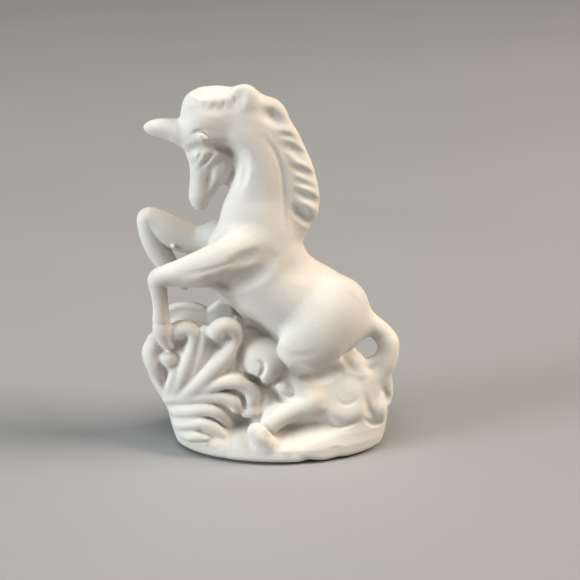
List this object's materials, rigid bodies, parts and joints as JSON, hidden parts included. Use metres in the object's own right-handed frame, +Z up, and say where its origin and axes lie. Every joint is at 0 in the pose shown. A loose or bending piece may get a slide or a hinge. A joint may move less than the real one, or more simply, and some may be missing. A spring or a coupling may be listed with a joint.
{
  "type": "unicorn figurine",
  "caption": "Small white bisque porcelain unicorn rearing on a scrolled wave base; free-standing shelf ornament cast in pieces that are luted together and fired as one.",
  "frame": {"origin": "on the standing surface, under the middle of the figurine's box", "axes": "+Z up; -X the way the unicorn faces, so its tail is at +X; -Y its left side, the side shown to the viewer"},
  "size_m": [0.0605, 0.03, 0.0852],
  "materials": {
    "bisque": "matte unglazed"
  },
  "bodies": {
    "root": {"base_mound": "bisque", "scroll_wall": "bisque", "body_shell": "bisque", "neck_and_head": "bisque", "horn": "bisque", "ears": "bisque", "forelock": "bisque", "mane": "bisque", "left_foreleg": "bisque", "right_foreleg": "bisque", "left_hind_leg": "bisque", "right_hind_leg": "bisque", "tail": "bisque", "left_scroll_fan": "bisque", "left_wave_scrolls": "bisque", "left_centre_curl": "bisque", "left_tail_scrolls": "bisque", "right_scroll_fan": "bisque", "right_wave_scrolls": "bisque", "right_centre_curl": "bisque", "right_tail_scrolls": "bisque"}
  },
  "joints": []
}
